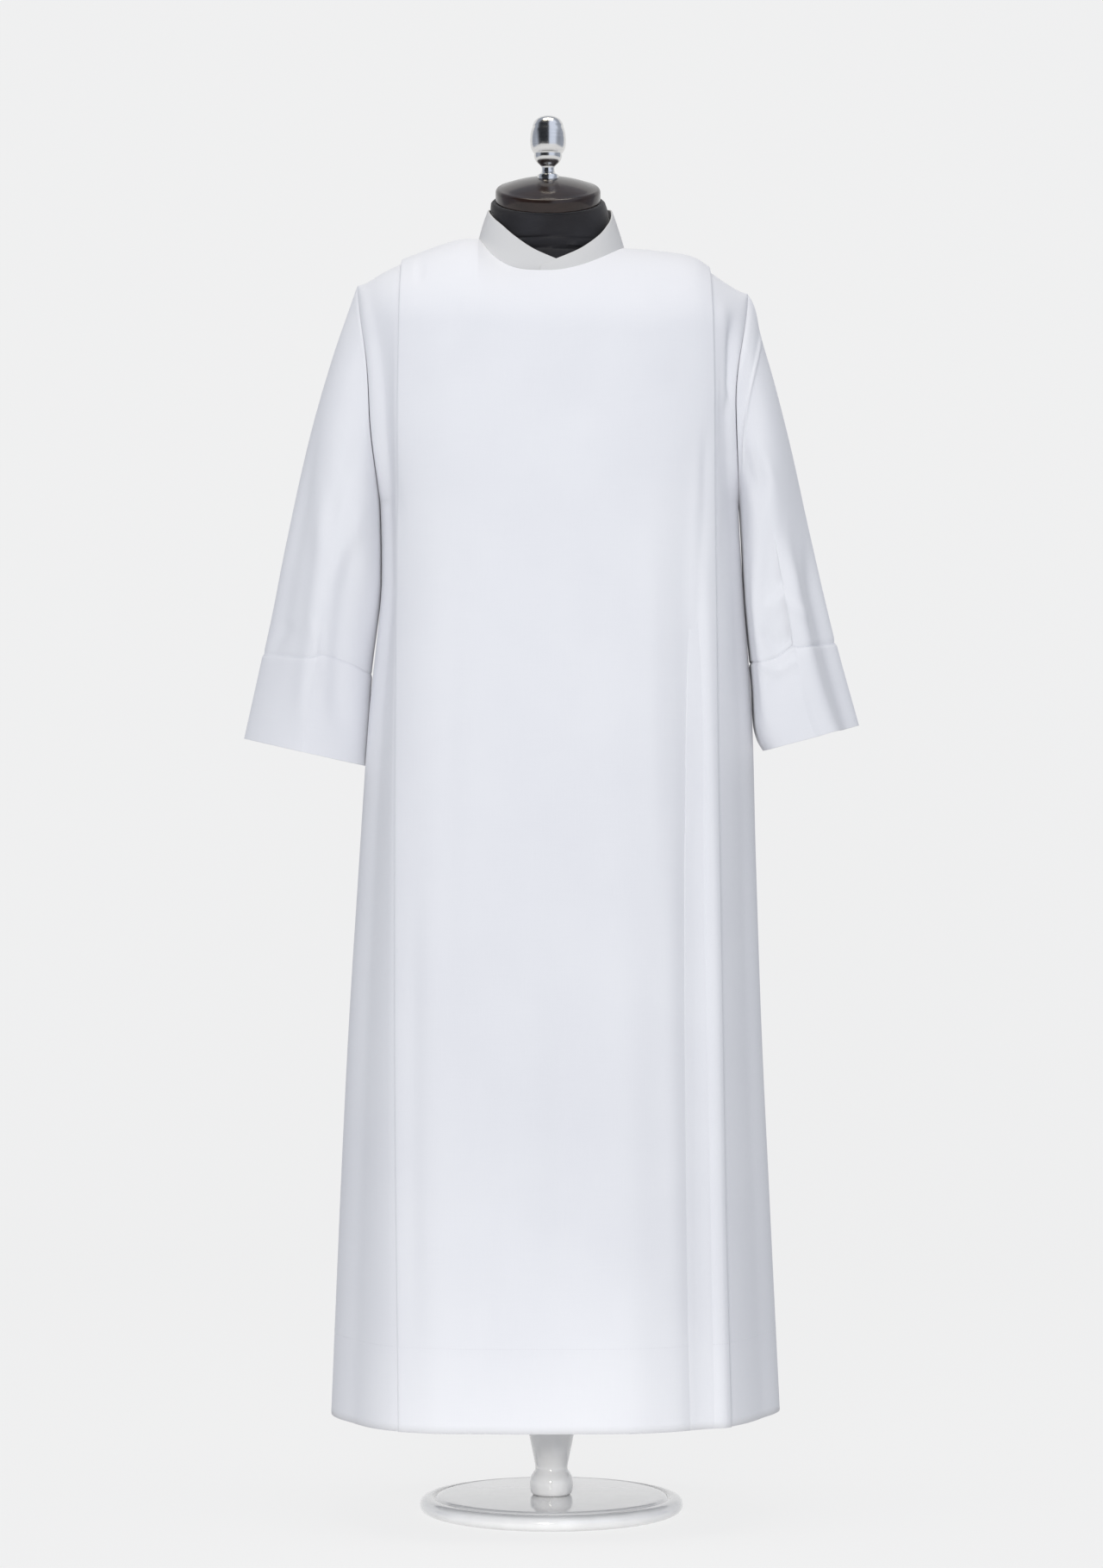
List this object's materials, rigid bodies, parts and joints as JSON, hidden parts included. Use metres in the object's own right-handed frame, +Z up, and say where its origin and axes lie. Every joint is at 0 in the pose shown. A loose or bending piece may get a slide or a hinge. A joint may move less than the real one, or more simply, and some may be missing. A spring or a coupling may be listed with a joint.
{
  "type": "alb on a limbless dress form",
  "caption": "Full-length white alb with knife pleats, open bell sleeves and a crossed stand collar, worn by a limbless dress form on a round base.",
  "frame": {"origin": "centre of the base plate's underside", "axes": "+Z up along the pole, -Y towards the garment's front, +X towards the wearer's left"},
  "size_m": [0.746, 0.4559, 1.6945],
  "materials": {
    "cloth_body": "matt plain weave",
    "cloth_sleeves": "matt plain weave",
    "cloth_collar": "matt plain weave",
    "form_cover": "matt knit cover",
    "cap_wood": "gloss varnish",
    "finial_chrome": "polished",
    "stand_paint": "satin",
    "pole_metal": "satin"
  },
  "bodies": {
    "root": {"front": "cloth_body", "back": "cloth_body", "sleeve_left": "cloth_sleeves", "sleeve_right": "cloth_sleeves", "collar_band": "cloth_collar", "form_torso": "form_cover", "neck_cap": "cap_wood", "finial": "finial_chrome", "base_plate": "stand_paint", "turned_post": "stand_paint", "pole": "pole_metal"}
  },
  "joints": []
}
